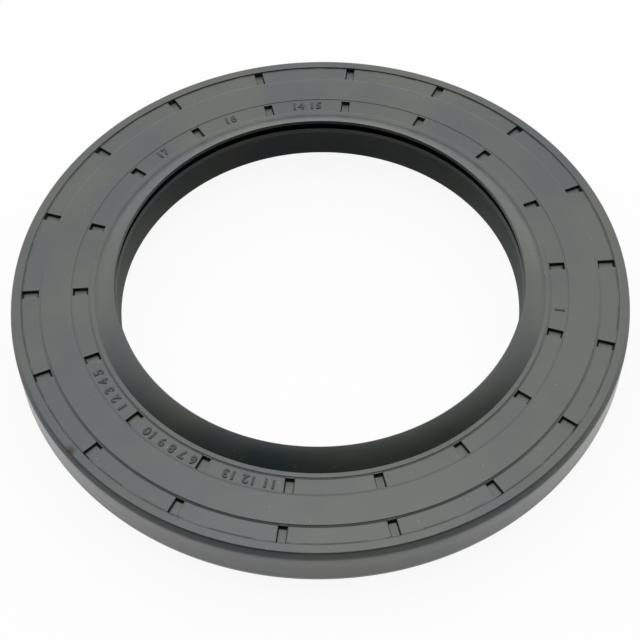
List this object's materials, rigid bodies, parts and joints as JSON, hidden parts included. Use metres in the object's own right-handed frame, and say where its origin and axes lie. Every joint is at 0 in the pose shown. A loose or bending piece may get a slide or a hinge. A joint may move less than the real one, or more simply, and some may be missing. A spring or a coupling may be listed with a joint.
{
  "type": "radial shaft seal",
  "caption": "Rubber-covered radial shaft seal: an L-section steel case bonded in rubber, with a sprung sealing lip for a rotating shaft and two dust lips on the air side.",
  "frame": {"origin": "centre of the oil-side plane on which the seal lies, on the shaft's axis", "axes": "+Z along the shaft's axis from the oil side to the air side; the seal is round about Z, and one pair of pockets lies on +X"},
  "size_m": [0.155, 0.155, 0.015],
  "materials": {
    "nitrile_rubber": "moulded, semi-matt black",
    "case_steel": "phosphated and primed for bonding, dark grey",
    "spring_wire": "drawn wire, close wound"
  },
  "bodies": {
    "root": {"rubber_body": "nitrile_rubber", "steel_case": "case_steel", "garter_spring": "spring_wire"}
  },
  "joints": []
}
